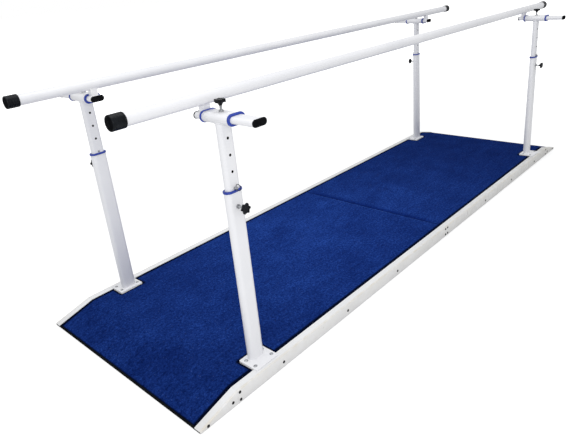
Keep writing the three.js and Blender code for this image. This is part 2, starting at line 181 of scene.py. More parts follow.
def solid(points, faces, crease=CREASE):
    """A mesh in metres from points in millimetres, with outward normals."""
    mesh = bpy.data.meshes.new("shape")
    mesh.from_pydata([[c * MM for c in p] for p in points], [], faces)
    work = bmesh.new()
    work.from_mesh(mesh)
    bmesh.ops.recalc_face_normals(work, faces=work.faces)
    work.to_mesh(mesh)
    work.free()
    return shaded(mesh, crease)


def loft(rings, closed=False, crease=CREASE):
    """Skins equal rings of points. Open lofts get flat ends, closed ones join last to first."""
    count, size = len(rings), len(rings[0])
    points = [p for ring in rings for p in ring]
    faces = []
    for k in range(count if closed else count - 1):
        a, b = k * size, (k + 1) % count * size
        for i in range(size):
            j = (i + 1) % size
            faces.append((a + i, a + j, b + j, b + i))
    if not closed:
        faces.append(tuple(reversed(range(size))))
        faces.append(tuple(range((count - 1) * size, count * size)))
    return solid(points, faces, crease)


def turns(count):
    return [2 * math.pi * i / count for i in range(count)]


def circle(radius, count=48):
    return [(radius * math.cos(a), radius * math.sin(a)) for a in turns(count)]


def oval(width, depth, arc=20, straight=1):
    """Points round a flat-sided oval."""
    radius, centre = depth / 2, (width - depth) / 2
    points = []
    for side in (1, -1):
        for i in range(arc + 1):
            angle = math.pi * i / arc - side * math.pi / 2
            points.append((side * centre + radius * math.cos(angle), radius * math.sin(angle)))
        for i in range(1, straight):
            points.append((side * centre * (1 - 2 * i / straight), side * radius))
    return points


def grown(size, by):
    """An oval's width and depth, both larger by the same amount."""
    return size[0] + by, size[1] + by


def grown_rings(size, *marks):
    """(width, depth, place) rings of an oval. Each mark says how much it grows, and its place."""
    return [(*grown(size, by), at) for by, at in marks]


def lift(outline, at, axis="z", centre=(0.0, 0.0)):
    """A flat outline set across an axis. Its own axes become X and Y, X and Z, or Y and Z."""
    u, v = centre
    if axis == "z":
        return [(x + u, y + v, at) for x, y in outline]
    if axis == "y":
        return [(x + u, at, y + v) for x, y in outline]
    return [(at, x + u, y + v) for x, y in outline]


def ovals(profile, axis="z", centre=(0.0, 0.0), closed=False):
    """An oval piece from (width, depth, place along the axis) rings."""
    return loft([lift(oval(w, d), at, axis, centre) for w, d, at in profile], closed)


def turned(profile, axis="z", centre=(0.0, 0.0), closed=False, count=48, crease=CREASE):
    """A turned piece from (radius, place along the axis) rings."""
    return loft([lift(circle(r, count), at, axis, centre) for r, at in profile], closed, crease)


def sweep(path, radius, closed=False, around=10, ripple=0.0, pitch=2.2):
    """A round wire or weld bead along a path. Ripples swell it every pitch."""
    points = [Vector(p) for p in path]
    count = len(points)
    rings, run, side = [], 0.0, None
    for i, point in enumerate(points):
        ahead = points[(i + 1) % count] if closed or i < count - 1 else point
        behind = points[i - 1] if closed or i > 0 else point
        along = (ahead - behind).normalized()
        if side is None:
            side = along.orthogonal().normalized()
        side = (side - along * side.dot(along)).normalized()
        up = along.cross(side)
        size = radius * (1 + ripple * (abs(math.sin(math.pi * run / pitch)) - 0.6))
        rings.append([
            tuple(point + (side * math.cos(a) + up * math.sin(a)) * size) for a in turns(around)
        ])
        run += (ahead - point).length
    if closed:
        first = Vector(rings[0][0]) - points[0]
        angles = [(Vector(p) - points[-1]).angle(first) for p in rings[-1]]
        slip = angles.index(min(angles))
        starts = [round(slip * i / count) for i in range(count)]
        rings = [ring[start:] + ring[:start] for ring, start in zip(rings, starts)]
    return loft(rings, closed, 60.0)


def slab(x, y, z, edge=0.6, corner=2.5):
    """A plate with rounded corners in plan and softened edges above and below."""
    centre = ((x[0] + x[1]) / 2, (y[0] + y[1]) / 2)
    half = ((x[1] - x[0]) / 2 - corner, (y[1] - y[0]) / 2 - corner)
    rings = []
    for by, at in (
        (edge, z[0]), (0, z[0] + edge), (0, z[1] - edge),
        (edge * 0.3, z[1] - edge * 0.3), (edge, z[1]),
    ):
        reach = corner - by
        ring = []
        for k, (sx, sy) in enumerate(((1, 1), (-1, 1), (-1, -1), (1, -1))):
            for i in range(7):
                angle = math.pi / 2 * (k + i / 6)
                u, v = reach * math.cos(angle), reach * math.sin(angle)
                ring.append((sx * half[0] + u, sy * half[1] + v))
        rings.append(lift(ring, at, "z", centre))
    return loft(rings)


def inset(outline, by):
    """A closed outline moved inwards along its corners' bisectors."""
    following = [*outline[1:], outline[0]]
    area = sum(x * v - u * y for (x, y), (u, v) in zip(outline, following))
    turn = 1 if area > 0 else -1
    corners = []
    for i, (x, y) in enumerate(outline):
        before, after = outline[i - 1], following[i]
        a = Vector((x - before[0], y - before[1])).normalized()
        b = Vector((after[0] - x, after[1] - y)).normalized()
        na, nb = Vector((-a.y, a.x)) * turn, Vector((-b.y, b.x)) * turn
        bisector = (na + nb).normalized()
        reach = by / max(0.4, bisector.dot(na))
        corners.append((x + bisector.x * reach, y + bisector.y * reach))
    return corners


def fillet(corners, steps=5):
    """Rounds an outline's corners. Each corner is (x, y, radius)."""
    size = len(corners)
    outline = []
    for i, (x, y, radius) in enumerate(corners):
        if radius <= 0:
            outline.append((x, y))
            continue
        here = Vector((x, y))
        before = (Vector(corners[i - 1][:2]) - here).normalized()
        after = (Vector(corners[(i + 1) % size][:2]) - here).normalized()
        half = before.angle(after) / 2
        start = here + before * radius / math.tan(half)
        end = here + after * radius / math.tan(half)
        middle = here + (before + after).normalized() * radius / math.sin(half)
        a, b = start - middle, end - middle
        swing = a.angle_signed(b)
        for k in range(steps + 1):
            t = -swing * k / steps
            outline.append((
                middle.x + a.x * math.cos(t) - a.y * math.sin(t),
                middle.y + a.x * math.sin(t) + a.y * math.cos(t),
            ))
    return outline


def join(*meshes):
    work = bmesh.new()
    for mesh in meshes:
        work.from_mesh(mesh)
    joined = bpy.data.meshes.new("shape")
    work.to_mesh(joined)
    work.free()
    return joined


def moved(mesh, matrix):
    copy = mesh.copy()
    copy.transform(matrix)
    if matrix.determinant() < 0:
        copy.flip_normals()
    return copy


def shift(x=0.0, y=0.0, z=0.0):
    return Matrix.Translation((x * MM, y * MM, z * MM))


def linked(name, data):
    """A new object in the scene."""
    item = bpy.data.objects.new(name, data)
    bpy.context.scene.collection.objects.link(item)
    return item


def modify(item, name, kind, **settings):
    """Adds a modifier with its settings."""
    modifier = item.modifiers.new(name, kind)
    for key, value in settings.items():
        setattr(modifier, key, value)


def bored(mesh, tools):
    """The mesh with other meshes cut out of it."""
    work = linked("work", mesh)
    cutters = [linked("tool", tool) for tool in tools]
    for cutter in cutters:
        modify(work, "cut", "BOOLEAN", object=cutter, operation="DIFFERENCE", solver="EXACT")
    graph = bpy.context.evaluated_depsgraph_get()
    result = bpy.data.meshes.new_from_object(work.evaluated_get(graph))
    for extra in (work, *cutters):
        bpy.data.objects.remove(extra)
    return shaded(result, CREASE)


def marked(mesh, **fields):
    """Writes numbers for a mesh's points, which its material reads by name."""
    for name, values in fields.items():
        mesh.attributes.new(name, "FLOAT", "POINT").data.foreach_set("value", values)
    return mesh


def shade(distance, full, clear):
    """1 up to one distance, falling to 0 at another."""
    return min(1.0, max(0.0, (clear - distance) / (clear - full)))


# Materials


def put(tree, socket, value):
    """Links a socket to another node's output, or sets its value."""
    if isinstance(value, bpy.types.NodeSocket):
        tree.links.new(value, socket)
    elif value is not None:
        socket.default_value = (*value, 1.0) if socket.type == "RGBA" else value


def add(tree, kind, inputs=None, **settings):
    """A shader node with its settings and inputs."""
    node = tree.nodes.new("ShaderNode" + kind)
    for name, value in settings.items():
        setattr(node, name, value)
    for key, value in (inputs or {}).items():
        put(tree, node.inputs[key], value)
    return node


def fresh_tree(owner):
    """The emptied node tree of a new material or world."""
    owner.use_nodes = True
    owner.node_tree.nodes.clear()
    return owner.node_tree


class Finish:
    """A node material. Textures are placed by the object's own coordinates, in metres."""

    def __init__(self, name):
        self.material = bpy.data.materials.new(name)
        self.tree = fresh_tree(self.material)
        self.shader = self.add("BsdfPrincipled")
        self.add("OutputMaterial", {"Surface": self.shader.outputs["BSDF"]})
        self.place = self.add("TexCoord").outputs["Object"]

    def add(self, kind, inputs=None, **settings):
        return add(self.tree, kind, inputs, **settings)

    def set(self, **values):
        for name, value in values.items():
            put(self.tree, self.shader.inputs[name.replace("_", " ")], value)

    def stretched(self, scale):
        return self.add("Mapping", {"Vector": self.place, "Scale": scale}).outputs["Vector"]

    def noise(self, scale, detail=3.0, rough=0.55, vector=None, twist=0.0):
        return self.add("TexNoise", {
            "Vector": vector or self.place, "Scale": scale, "Detail": detail,
            "Roughness": rough, "Distortion": twist,
        }).outputs["Fac"]

    def cells(self, scale):
        node = self.add("TexVoronoi", {"Vector": self.place, "Scale": scale})
        return node.outputs["Distance"]

    def attribute(self, name):
        return self.add("Attribute", attribute_name=name).outputs["Fac"]

    def along(self, axis):
        return self.add("SeparateXYZ", {"Vector": self.place}).outputs[axis]

    def distance(self, point):
        node = self.add("VectorMath", {0: self.place, 1: point}, operation="DISTANCE")
        return node.outputs["Value"]

    def span(self, value, low, high, start=0.0, end=1.0):
        """Start where a value is low, end where it is high."""
        return self.add("MapRange", {
            "Value": value, "From Min": low, "From Max": high, "To Min": start, "To Max": end,
        }).outputs["Result"]

    def times(self, a, b):
        return self.add("Math", {0: a, 1: b}, operation="MULTIPLY").outputs["Value"]

    def ramp(self, value, *stops):
        node = self.add("ValToRGB", {"Fac": value})
        ramp = node.color_ramp
        while len(ramp.elements) < len(stops):
            ramp.elements.new(1.0)
        for element, (place, colour) in zip(ramp.elements, stops):
            element.position = place
            element.color = (*colour, 1.0)
        return node.outputs["Color"]

    def mix(self, share, a, b, blend="MIX"):
        inputs = {0: share, 6: a, 7: b}
        return self.add("Mix", inputs, data_type="RGBA", blend_type=blend).outputs[2]

    def tinted(self, colour, value, *stops):
        """A colour multiplied by a ramp."""
        return self.mix(1.0, colour, self.ramp(value, *stops), "MULTIPLY")

    def bump(self, value, depth, normal=None):
        """Relief of the given depth in millimetres."""
        return self.add("Bump", {
            "Strength": 1.0, "Distance": depth * MM, "Height": value, "Normal": normal,
        }).outputs["Normal"]


SCUFF = (0.5, 0.5, 0.51)
GRIME = (0.42, 0.4, 0.37)
FAR_DIRT_AND_SHADE = (0.5, 0.49, 0.46)
FAR_SMUDGE_AND_SHADE = (0.4, 0.39, 0.355)
CORNER_TAN = (0.66, 0.6, 0.47)


def powder_coat(name, clean, worn, dust_and_shade=0.0):
    """White paint. Where asked, it is dirtier low down, with mottled dirt and painted shade growing
    towards the far end.
    """
    finish = Finish(name)
    colour = finish.ramp(finish.noise(4.0, 4.0), (0.3, worn), (0.65, clean))
    scuff = finish.noise(38.0, 8.0, 0.72, twist=1.4)
    colour = finish.mix(finish.span(scuff, 0.66, 0.8, 0.0, 0.35), colour, SCUFF)
    if dust_and_shade:
        low_down = finish.span(finish.along("Z"), 0.04, 0.0)
        grime = finish.times(low_down, finish.noise(22.0, 6.0, 0.7))
        colour = finish.mix(finish.times(grime, dust_and_shade), colour, GRIME)
        # Mottled dirt, with painted shade that grows towards the far end.
        for field, low, high, start, least, tint in (
            (finish.noise(9.0, 7.0, 0.72), 0.3, 0.65, -0.8, 0.04, FAR_DIRT_AND_SHADE),
            (finish.noise(52.0, 6.0, 0.75), 0.42, 0.6, -0.6, 0.0, FAR_SMUDGE_AND_SHADE),
        ):
            far_dirt_and_shade = finish.span(finish.along("X"), start, 1.4, least, 0.42)
            colour = finish.mix(finish.times(finish.span(field, low, high), far_dirt_and_shade), colour, tint)
        # A tan band in patches along the upper outer corner.
        corner_tan_patches = finish.span(finish.noise(31.0, 6.0, 0.7), 0.3, 0.6)
        colour = finish.mix(finish.times(finish.attribute("corner"), corner_tan_patches), colour, CORNER_TAN)
    peel = finish.bump(finish.noise(650.0, 2.0), 0.02)
    finish.set(
        Base_Color=colour,
        Roughness=finish.span(finish.noise(17.0, 5.0), 0.3, 0.7, 0.27, 0.42),
        Normal=finish.bump(finish.noise(60.0, 2.0), 0.03, peel),
    )
    return finish.material


def moulded(name, colour, pale, roughness, grain, depth, gloss):
    """Plastic or rubber with a fine grain and paler specks."""
    finish = Finish(name)
    tint = finish.ramp(finish.noise(30.0, 6.0, 0.65), (0.35, colour), (0.75, pale))
    speck = finish.span(finish.noise(900.0, 2.0), 0.62, 0.75, 0.0, 0.25)
    matt = (roughness - 0.07, roughness + 0.09)
    finish.set(
        Base_Color=finish.mix(speck, tint, pale),
        Roughness=finish.span(finish.noise(70.0, 4.0), 0.3, 0.7, *matt),
        Specular_IOR_Level=gloss,
        Normal=finish.bump(finish.noise(grain, 3.0, 0.6), depth),
    )
    return finish.material


def plated(name, colour, roughness, stain):
    """Bare or plated steel with faint stains."""
    finish = Finish(name)
    matt = (roughness - 0.06, roughness + 0.12)
    finish.set(
        Base_Color=finish.ramp(finish.noise(140.0, 5.0, 0.65), (0.35, stain), (0.6, colour)),
        Metallic=1.0,
        Roughness=finish.span(finish.noise(260.0, 4.0), 0.3, 0.7, *matt),
        Normal=finish.bump(finish.noise(700.0, 3.0), 0.01),
    )
    return finish.material


def carpet_finish():
    """Pile mottled at four scales, paler in the middle by painted light, with painted shade at its
    edges.
    """
    finish = Finish("carpet_pile")
    tuft = finish.cells(420.0)
    fibre = finish.noise(1500.0, 3.0, 0.7)
    colour = finish.ramp(
        finish.noise(230.0, 5.0, 0.75),
        (0.28, (0.0036, 0.0172, 0.129)), (0.5, (0.0074, 0.034, 0.218)),
        (0.74, (0.018, 0.071, 0.365)),
    )
    clumps = finish.noise(105.0, 5.0, 0.75)
    brushed = finish.noise(1.0, 5.0, 0.62, finish.stretched((11.0, 30.0, 11.0)), 0.6)
    patch = finish.noise(5.5, 5.0, 0.62)
    # Painted light: the pile is paler round a point near the middle and darker towards both ends.
    painted_light_pool = finish.span(finish.distance((-0.35, 0.12, 0.0)), 0.2, 1.45)
    for field, *stops in (
        (clumps, (0.34, (0.3, 0.42, 0.52)), (0.68, (2.3, 1.72, 1.46))),
        (brushed, (0.3, (0.76, 0.78, 0.82)), (0.7, (1.2, 1.18, 1.12))),
        (patch, (0.35, (0.76, 0.78, 0.83)), (0.7, (1.28, 1.23, 1.16))),
        (painted_light_pool, (0.0, (1.0, 1.0, 1.0)), (1.0, (0.46, 0.5, 0.56))),
    ):
        colour = finish.tinted(colour, field, *stops)
    lint = finish.span(finish.noise(310.0, 1.0, 0.3), 0.765, 0.8, 0.0, 0.5)
    colour = finish.mix(lint, colour, (0.16, 0.22, 0.46))
    # Painted shade beside the seam on the far carpet, painted light along it on the near carpet.
    colour = finish.tinted(
        colour, finish.attribute("seam"),
        (0.0, (0.34, 0.48, 0.68)), (0.5, (1.0, 1.0, 1.0)), (1.0, (1.5, 1.3, 1.14)),
    )
    # Painted shade: near-black along the carpet's edges at the flanges, base plates, nosing and
    # joint.
    border = finish.span(finish.attribute("border"), 0.0, 1.0, 0.0, 0.95)
    colour = finish.mix(border, colour, (0.0006, 0.001, 0.004))
    relief = finish.bump(finish.noise(190.0, 4.0, 0.7), 0.9)
    relief = finish.bump(tuft, 0.7, relief)
    finish.set(
        Base_Color=colour,
        Roughness=0.95,
        Specular_IOR_Level=0.01,
        Sheen_Weight=0.05,
        Sheen_Roughness=0.5,
        Sheen_Tint=(0.05, 0.2, 1.0),
        Normal=finish.bump(fibre, 0.25, relief),
    )
    return finish.material


def plywood():
    finish = Finish("plywood")
    grain = finish.noise(1.0, 6.0, 0.6, finish.stretched((5.0, 90.0, 90.0)), 1.2)
    colour = finish.ramp(
        grain, (0.3, (0.28, 0.15, 0.062)), (0.55, (0.43, 0.26, 0.12)), (0.8, (0.52, 0.34, 0.17)),
    )
    layers = finish.noise(1.0, 0.0, 0.5, finish.stretched((0.4, 0.4, 420.0)))
    finish.set(
        Base_Color=finish.mix(finish.span(layers, 0.4, 0.6, 0.0, 0.35), colour, (0.2, 0.1, 0.04)),
        Roughness=finish.span(grain, 0.3, 0.7, 0.6, 0.8),
        Normal=finish.bump(grain, 0.25),
    )
    return finish.material


PAINT = powder_coat("white_powder_coat", (0.85, 0.85, 0.872), (0.8, 0.802, 0.832))
EDGING = powder_coat("white_edging", (0.855, 0.856, 0.864), (0.79, 0.79, 0.802), dust_and_shade=0.5)
BLUE, BLACK, RUBBER, PAINTED_SHADE_INSIDE = [moulded(*row) for row in (
    ("blue_plastic", (0.009, 0.031, 0.28), (0.021, 0.062, 0.42), 0.2, 420.0, 0.02, 0.5),
    ("black_plastic", (0.003, 0.0038, 0.0052), (0.010, 0.012, 0.0155), 0.24, 520.0, 0.06, 0.12),
    ("black_rubber", (0.004, 0.0042, 0.005), (0.012, 0.0125, 0.014), 0.62, 260.0, 0.12, 0.0),
    # Near-black painted shade for the upright's inside, seen through its pin holes.
    ("painted_shade_inside", (0.002, 0.002, 0.002), (0.006, 0.006, 0.0055), 0.6, 300.0, 0.05, 0.0),
)]
ZINC = plated("zinc_plate", (0.5, 0.51, 0.53), 0.3, (0.3, 0.305, 0.31))
DARK_STEEL = plated("dark_steel", (0.03, 0.03, 0.033), 0.42, (0.012, 0.012, 0.013))
WIRE = plated("wire", (0.05, 0.05, 0.055), 0.32, (0.02, 0.02, 0.022))
CARPET = carpet_finish()
PLYWOOD = plywood()


# Placing


def piece(name, mesh, materials, body, slot, matrix=None, nodes=()):
    mesh = moved(mesh, matrix) if matrix is not None else mesh
    mesh.name = name
    for material in materials if isinstance(materials, tuple) else (materials,):
        mesh.materials.append(material)
    item = linked(name, mesh)
    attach(item, body)
    if nodes:
        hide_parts(*nodes)
    return item


def refinish(item, material):
    """Gives a CAD node a material of this script."""
    item.data.materials.clear()
    item.data.materials.append(material)


# Flanged plastic bushings


def bushing(face, way, flange, passage, axis="z", centre=(0.0, 0.0)):
    """A bushing in a tube's mouth: over its rounded flange, down its bore and up its skirt."""
    near, far = face + way * GAP, face + way * (GAP + flange)
    foot = face - way * BUSHING_SKIRT
    rings = [
        *grown_rings(
            grown(POST_SIZE, 2 * BUSHING_RIM),
            (-1.0, near), (-0.2, near + way * 0.4), (0.0, near + way * 1.2),
            (0.0, far - way * 2.0), (-0.5, far - way * 0.9), (-1.6, far - way * 0.25), (-3.2, far),
        ),
        *grown_rings(
            grown(passage, 2 * GAP),
            (2.0, far), (0.7, far - way * 0.25), (0.0, far - way * 1.0),
            (0.0, foot + way * 0.8), (0.8, foot),
        ),
        *grown_rings(
            grown(POST_SIZE, -2 * (WALL + GAP)), (-0.6, foot), (0.0, foot + way * 0.8), (0.0, near),
        ),
    ]
    return ovals(rings, axis, centre, closed=True)


# Hexagonal nuts, star knobs and studs


def hexagon(limit, count=72):
    """A nut's outline, with its corners cut back to a limit from its axis."""
    ring = []
    for a in turns(count):
        near = (a + math.pi / 6) % (math.pi / 3) - math.pi / 6
        reach = min(NUT_FLATS / 2 / math.cos(near), limit)
        ring.append((reach * math.cos(a), reach * math.sin(a)))
    return ring


def nut(axis, low, high, centre):
    wide = NUT_FLATS / math.cos(math.pi / 6) / 2
    outside = ((wide, low), (wide, high - 1.1), (wide * 0.95, high - 0.45), (6.45, high))
    bore = ((NUT_BORE + 0.6, high), (NUT_BORE, high - 0.6), (NUT_BORE, low))
    rings = [lift(hexagon(limit), at, axis, centre) for limit, at in outside]
    rings += [lift(circle(radius, 72), at, axis, centre) for radius, at in bore]
    return loft(rings, closed=True)


def star(inward, count=120):
    ring = []
    for a in turns(count):
        reach = KNOB_RADIUS - KNOB_LOBE * abs(math.sin(3 * a)) ** 1.35 - inward
        ring.append((reach * math.cos(a), reach * math.sin(a)))
    return ring


def knob(foot):
    """The plastic knob along +Z, with its hub's foot at the given height."""
    hub = (
        (4.2, 0.6), (5.1, 0.0), (5.5, 0.4), (5.6, 1.6), (6.3, 3.5), (7.7, 5.4), (9.6, 7.0),
        (11.2, 7.9),
    )
    lobes = (
        (1.9, 8.1), (0.6, 8.6), (0.0, 9.8), (0.0, 15.3), (0.45, 16.5), (1.3, 17.4), (2.6, 17.9),
    )
    hollow = ((8.6, 18.0), (8.1, 17.7), (7.9, 17.1), (6.0, 17.0), (2.0, 17.0))
    rings = [lift(circle(radius, 120), foot + at) for radius, at in hub]
    rings += [lift(star(inward), foot + at) for inward, at in lobes]
    rings += [lift(circle(radius, 120), foot + at) for radius, at in hollow]
    return loft(rings)


def stud(tip, end, count=28, pitch=1.25):
    """A threaded stud along +Z with a helical groove."""
    rings = [lift(circle(2.9, count), tip)]
    steps = int((end - tip - 1.0) / (pitch / 5))
    for k in range(steps + 1):
        at = tip + 0.8 + k * pitch / 5
        ring = []
        for a in turns(count):
            phase = (at / pitch - a / (2 * math.pi)) % 1.0
            reach = 3.42 + 0.56 * abs(2 * phase - 1)
            ring.append((reach * math.cos(a), reach * math.sin(a)))
        rings.append(lift(ring, at))
    rings.append(lift(circle(3.2, count), end))
    return loft(rings, crease=70.0)


# Uprights, posts and their plates


def sleeve_under(x):
    """Height of the sleeve's underside above a point of the upright's width."""
    width, depth = POST_SIZE
    out = max(0.0, abs(x) - (width - depth) / 2)
    return ARM_Z - math.sqrt(max(0.0, (depth / 2) ** 2 - out * out))


def darken_inside(tube, size):
    """Gives the faces inside an upright flat-oval tube its second material, a near-black painted
    shade.
    """
    width, depth = size
    radius, centre = depth / 2 * MM, (width - depth) / 2 * MM
    for face in tube.polygons:
        x, y, _ = face.center
        face.material_index = int(math.hypot(max(0.0, abs(x) - centre), y) < radius)
    return tube


def faced(mesh, axis):
    """Gives the faces that look along an axis their second material."""
    for face in mesh.polygons:
        face.material_index = int(abs(face.normal[axis]) > 0.9)
    return mesh


def upright_tube():
    """The upright with its pin holes, its top cut to the sleeve's round underside."""
    bore = grown(UPRIGHT_SIZE, -2 * WALL)
    straight = [(0, at) for at in (UPRIGHT_FOOT + 0.4, 640, 760)]
    outside = grown_rings(UPRIGHT_SIZE, (-0.8, UPRIGHT_FOOT), *straight)
    inside = grown_rings(bore, *reversed(straight), (0.8, UPRIGHT_FOOT))
    rings = [lift(oval(w, d), at) for w, d, at in outside]
    for size in (UPRIGHT_SIZE, bore):
        rings.append([(x, y, sleeve_under(x) + 0.7) for x, y in oval(*size)])
    rings += [lift(oval(w, d), at) for w, d, at in inside]
    holes = [
        turned([(HOLE_RADIUS, -20), (HOLE_RADIUS, 20)], "y", (0, PIN_Z + HOLE_PITCH * i), count=32)
        for i in range(-3, 4)
    ]
    return darken_inside(bored(loft(rings, closed=True), holes), grown(UPRIGHT_SIZE, -0.6))


def tube_rings(size, low, high, soft=0.5):
    """Rings of an open flat-oval tube with softened rims."""
    return [
        *grown_rings(
            size, (-soft, low), (0, low + soft), (0, high - soft),
            (-soft * 0.6, high - soft * 0.15), (-2 * soft, high),
        ),
        *grown_rings(
            grown(size, -2 * WALL), (2 * soft * 0.6, high), (0, high - soft), (0, low + soft),
            (soft, low),
        ),
    ]


def dome_bolt(x, y):
    """A domed head on its washer rim."""
    profile = [
        (6.1, -0.2), (6.5, 0.1), (6.5, 0.6), (6.25, 0.85), (5.35, 0.95), (5.2, 1.05), (5.0, 1.5),
        (4.4, 2.0), (3.4, 2.4), (2.4, 2.6), (1.2, 2.7), (0.3, 2.7),
    ]
    return moved(turned(profile, count=32), shift(x, y, PLATE_TOP))


def weld_round(size, level, radius):
    """A bead round an oval tube. A function gives its level at each place across the width."""
    path = [(x, y, level(x)) for x, y in oval(*size, 44, 26)]
    return sweep(path, radius, closed=True, ripple=0.2)


# Arm pieces


def plug(inner, outer, recess):
    """A black stopper from its joint with the tube to its face, which has a shallow recess."""
    way = 1 if outer > inner else -1
    rings = grown_rings(
        ARM_SIZE,
        (-6.0, inner - way * 18), (-3.6, inner - way * 16), (-3.6, inner),
        (0.6, inner + way * 0.05), (1.6, inner + way * 0.3), (2.0, inner + way * 1.0),
        (2.0, outer - way * 1.3), (1.5, outer - way * 0.5), (0.3, outer - way * 0.1),
        (-0.8, outer), (-4.0, outer), (-4.8, outer - way * 0.25), (-5.4, outer - way * recess),
        (-19.5, outer - way * recess),
    )
    return faced(ovals(rings, "y", (0, ARM_Z)), 1)


def saddle():
    """The block between the arm and the bar, with the bar's seat in its top."""
    seat, drop = BAR_RADIUS + GAP, BAR_Z - SADDLE_TOP
    start = math.atan2(-drop, -math.sqrt(seat ** 2 - drop ** 2))
    end = math.atan2(-math.sqrt(seat ** 2 - SADDLE_FRONT ** 2), SADDLE_FRONT)
    start += 2 * math.pi if start < 0 else 0
    end += 2 * math.pi if end < 0 else 0
    bowl = [start + (end - start) * i / 14 for i in range(15)]
    outline = [(SADDLE_BACK, SADDLE_FOOT), (SADDLE_BACK, SADDLE_TOP)]
    outline += [(BAR_Y + seat * math.cos(a), BAR_Z + seat * math.sin(a)) for a in bowl]
    outline += [(BAR_Y + SADDLE_FRONT, SADDLE_FOOT)]
    soft = SADDLE_HALF - 0.8
    places = ((0.7, -SADDLE_HALF), (0.0, -soft), (0.0, soft), (0.7, SADDLE_HALF))
    return loft([lift(inset(outline, by), at, "x") for by, at in places], crease=30.0)


def straight_bead(y, z, radius, half=12.0, count=60):
    path = [(-half + 2 * half * i / count, y, z) for i in range(count + 1)]
    return sweep(path, radius, ripple=0.2)


def pull_ring():
    """The wire ring through the pin's head, tilted up."""
    tilt = math.radians(RING_TILT)
    y = PIN_FACE + 10 - 2.4 + RING_RADIUS * math.cos(tilt)
    z = PIN_Z + RING_RADIUS * math.sin(tilt)
    path = [(0.0, y + u, z + v) for u, v in circle(RING_RADIUS, 48)]
    return sweep(path, RING_WIRE, closed=True, around=12)


# Corners

AT_ARM = ("y", (0, ARM_Z))
# From along +Z to along +Y of the post's frame, on the height knob's axis
OUTWARDS = shift(0, 0, HEIGHT_KNOB_Z) @ Matrix.Rotation(-math.pi / 2, 4, "X")

POST_TUBE = ovals(tube_rings(POST_SIZE, PLATE_TOP, POST_TOP), closed=True)
PLATE_X = (-PLATE_HALF, PLATE_HALF)
PACKER_Y = (PLATE_INNER, HALF_WIDTH - FLANGE - GAP - POST_Y)
BASE_PLATE = slab(PLATE_X, (PLATE_INNER, PLATE_OUTER), (PLATE_UNDER, PLATE_TOP))
PACKER = slab(PLATE_X, PACKER_Y, (CARPET_UNDER, PLATE_UNDER), 0.2)
PLATE_BOLTS = join(*[dome_bolt(x, y) for x in BOLT_XS for y in BOLT_YS])
POST_WELD = weld_round(grown(POST_SIZE, 0.4), lambda x: PLATE_TOP + 0.3, 2.5)
HEIGHT_NUT = nut("y", NUT_FOOT, NUT_TOP, (0, HEIGHT_KNOB_Z))
COLLAR = bushing(POST_TOP, 1, COLLAR_FLANGE, UPRIGHT_SIZE)

SLEEVE = ovals(tube_rings(POST_SIZE, -SLEEVE_HALF, SLEEVE_HALF), *AT_ARM, closed=True)
SLEEVE_WELD = weld_round(grown(UPRIGHT_SIZE, 0.6), lambda x: sleeve_under(x) - 0.2, 1.9)
WIDTH_NUT = nut("z", ARM_Z + NUT_FOOT, ARM_Z + NUT_TOP, (0, 0))
INNER_BUSHING, OUTER_BUSHING = [
    bushing(way * SLEEVE_HALF, way, SLEEVE_FLANGE, ARM_SIZE, *AT_ARM) for way in (-1, 1)
]

ARM_TUBE = ovals(tube_rings(ARM_SIZE, ARM_INNER, ARM_OUTER, 0.3), *AT_ARM, closed=True)
INNER_PLUG = plug(ARM_INNER, ARM_INNER - PLUG_FACE, 0.4)
OUTER_PLUG = plug(ARM_OUTER + GAP, ARM_OUTER + GAP + PLUG_FACE, 0.9)
SADDLE_WELDS = join(*[straight_bead(*bead) for bead in (
    (-61.8, 873.2, 1.7), (-82.6, 873.2, 1.5), (-61.4, 892.6, 1.3), (-80.6, 898.0, 1.3),
)])

HEIGHT_GRIP = moved(knob(HEIGHT_KNOB_FOOT), OUTWARDS)
HEIGHT_STUD = moved(stud(PIN_FACE, HEIGHT_KNOB_FOOT + STUD_IN_KNOB), OUTWARDS)
WIDTH_GRIP = knob(ARM_Z + WIDTH_KNOB_FOOT)
WIDTH_STUD = stud(ARM_Z + ARM_SIZE[1] / 2 + GAP, ARM_Z + WIDTH_KNOB_FOOT + STUD_IN_KNOB)
PIN = turned([
    (1.6, -15), (3.2, -13.4), (4.0, -12), (4.0, PIN_FACE), (4.6, PIN_FACE), (5.0, PIN_FACE + 0.4),
    (5.0, PIN_FACE + 9.6), (4.6, PIN_FACE + 10),
], "y", (0, PIN_Z), count=36)

